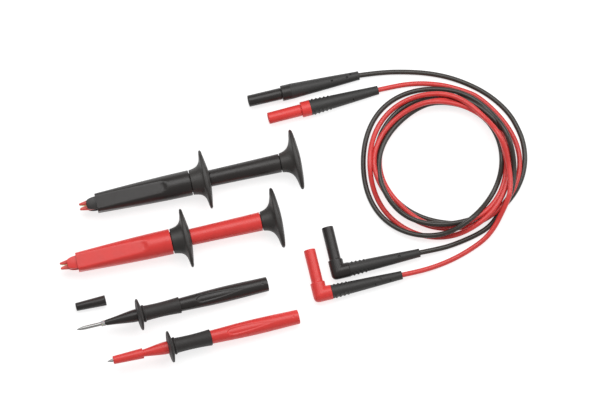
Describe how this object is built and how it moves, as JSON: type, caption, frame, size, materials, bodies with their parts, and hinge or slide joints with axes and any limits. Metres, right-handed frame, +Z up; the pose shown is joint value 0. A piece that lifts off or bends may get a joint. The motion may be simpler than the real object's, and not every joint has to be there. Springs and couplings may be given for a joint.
{
  "type": "test lead accessory kit",
  "caption": "Test lead kit laid out flat: spring-loaded pincer clips, needle probes with slip-on tip caps, and coiled leads with straight and right-angle shrouded plugs.",
  "frame": {"origin": "on the table, under the middle of the box round the clips, probes, cap and straight plugs", "axes": "+X to the right of the layout, roughly along the tools from their tips to their rear ends; +Y across the layout towards the leads' straight plugs; +Z up from the table"},
  "size_m": [0.3639, 0.2351, 0.025],
  "materials": {
    "black_shell": "satin moulded",
    "red_shell": "satin moulded",
    "flange_shell": "fine satin moulded",
    "jaw_shell": "satin moulded",
    "grip_rubber": "soft matte",
    "boot_rubber": "satin soft",
    "black_cable": "smooth, slightly glossy silicone",
    "red_cable": "smooth, slightly glossy silicone",
    "ferrule": "smooth translucent",
    "tip_steel": "ground",
    "spring_steel": "drawn wire",
    "brass": "turned",
    "nickel": "nickel plated"
  },
  "bodies": {
    "root": {"black_clip_barrel": "black_shell", "black_clip_nose_guide": "black_shell", "black_clip_finger_flange": "flange_shell", "black_clip_return_spring": "spring_steel", "black_probe_tip_rod": "tip_steel", "black_probe_ferrule": "ferrule", "black_probe_nose": "black_shell", "black_probe_guard_grip": "grip_rubber", "black_probe_barrel": "black_shell", "black_probe_inner_wire": "brass", "black_probe_socket": "brass", "black_plug_shroud": "black_shell", "black_plug_pin": "nickel", "black_plug_boot": "boot_rubber", "black_cable_lead_in": "black_cable", "black_cable_coil": "black_cable", "black_cable_tail": "black_cable", "black_elbow_boot": "boot_rubber", "black_elbow_housing": "black_shell", "black_elbow_pin": "nickel", "red_clip_barrel": "red_shell", "red_clip_nose_guide": "red_shell", "red_clip_finger_flange": "flange_shell", "red_clip_return_spring": "spring_steel", "red_probe_tip_rod": "tip_steel", "red_probe_ferrule": "ferrule", "red_probe_nose": "red_shell", "red_probe_guard_grip": "grip_rubber", "red_probe_barrel": "red_shell", "red_probe_inner_wire": "brass", "red_probe_socket": "brass", "red_plug_shroud": "red_shell", "red_plug_pin": "nickel", "red_plug_boot": "boot_rubber", "red_cable_lead_in": "red_cable", "red_cable_coil": "red_cable", "red_cable_tail": "red_cable", "red_elbow_boot": "boot_rubber", "red_elbow_housing": "red_shell", "red_elbow_pin": "nickel", "black_cap": "black_shell"},
    "black_clip_plunger": {"black_clip_plunger_tube": "black_shell", "black_clip_thumb_flange": "flange_shell", "black_clip_pull_rod": "brass", "black_clip_socket": "brass"},
    "black_clip_jaw_left": {"black_clip_jaw_left": "jaw_shell", "black_clip_contact_left": "brass"},
    "black_clip_jaw_right": {"black_clip_jaw_right": "jaw_shell", "black_clip_contact_right": "brass"},
    "red_clip_plunger": {"red_clip_plunger_tube": "red_shell", "red_clip_thumb_flange": "flange_shell", "red_clip_pull_rod": "brass", "red_clip_socket": "brass"},
    "red_clip_jaw_left": {"red_clip_jaw_left": "jaw_shell", "red_clip_contact_left": "brass"},
    "red_clip_jaw_right": {"red_clip_jaw_right": "jaw_shell", "red_clip_contact_right": "brass"},
    "red_cap": {"red_cap": "red_shell"}
  },
  "joints": [
    {"name": "black_clip_press", "type": "slide", "parent": "root", "child": "black_clip_plunger", "axis": [-0.9759, -0.2181, 0], "range_m": [0, 0.012], "stiffness_N_per_m": 350, "springref_m": -0.006, "deforming": ["black_clip_return_spring"]},
    {"name": "black_clip_jaw_left_opens", "type": "hinge", "parent": "black_clip_plunger", "child": "black_clip_jaw_left", "pos_m": [-0.08994, 0.01175, 0.011], "axis": [0, 0, -1], "range_deg": [0, 17]},
    {"name": "black_clip_jaw_right_opens", "type": "hinge", "parent": "black_clip_plunger", "child": "black_clip_jaw_right", "pos_m": [-0.08994, 0.01175, 0.011], "axis": [0, 0, 1], "range_deg": [0, 17]},
    {"name": "red_clip_press", "type": "slide", "parent": "root", "child": "red_clip_plunger", "axis": [-0.9751, -0.2215, 0], "range_m": [0, 0.012], "stiffness_N_per_m": 350, "springref_m": -0.006, "deforming": ["red_clip_return_spring"]},
    {"name": "red_clip_jaw_left_opens", "type": "hinge", "parent": "red_clip_plunger", "child": "red_clip_jaw_left", "pos_m": [-0.10465, -0.0349, 0.011], "axis": [0, 0, -1], "range_deg": [0, 17]},
    {"name": "red_clip_jaw_right_opens", "type": "hinge", "parent": "red_clip_plunger", "child": "red_clip_jaw_right", "pos_m": [-0.10465, -0.0349, 0.011], "axis": [0, 0, 1], "range_deg": [0, 17]},
    {"name": "red_cap_pull_off", "type": "slide", "parent": "root", "child": "red_cap", "axis": [-0.9681, -0.2414, 0.0671], "range_m": [0, 0.03]}
  ],
  "couplings": [
    {"joint": "black_clip_jaw_left_opens", "follows": "black_clip_press", "rad_per_m": 24.5},
    {"joint": "black_clip_jaw_right_opens", "follows": "black_clip_press", "rad_per_m": 24.5},
    {"joint": "red_clip_jaw_left_opens", "follows": "red_clip_press", "rad_per_m": 24.5},
    {"joint": "red_clip_jaw_right_opens", "follows": "red_clip_press", "rad_per_m": 24.5}
  ]
}
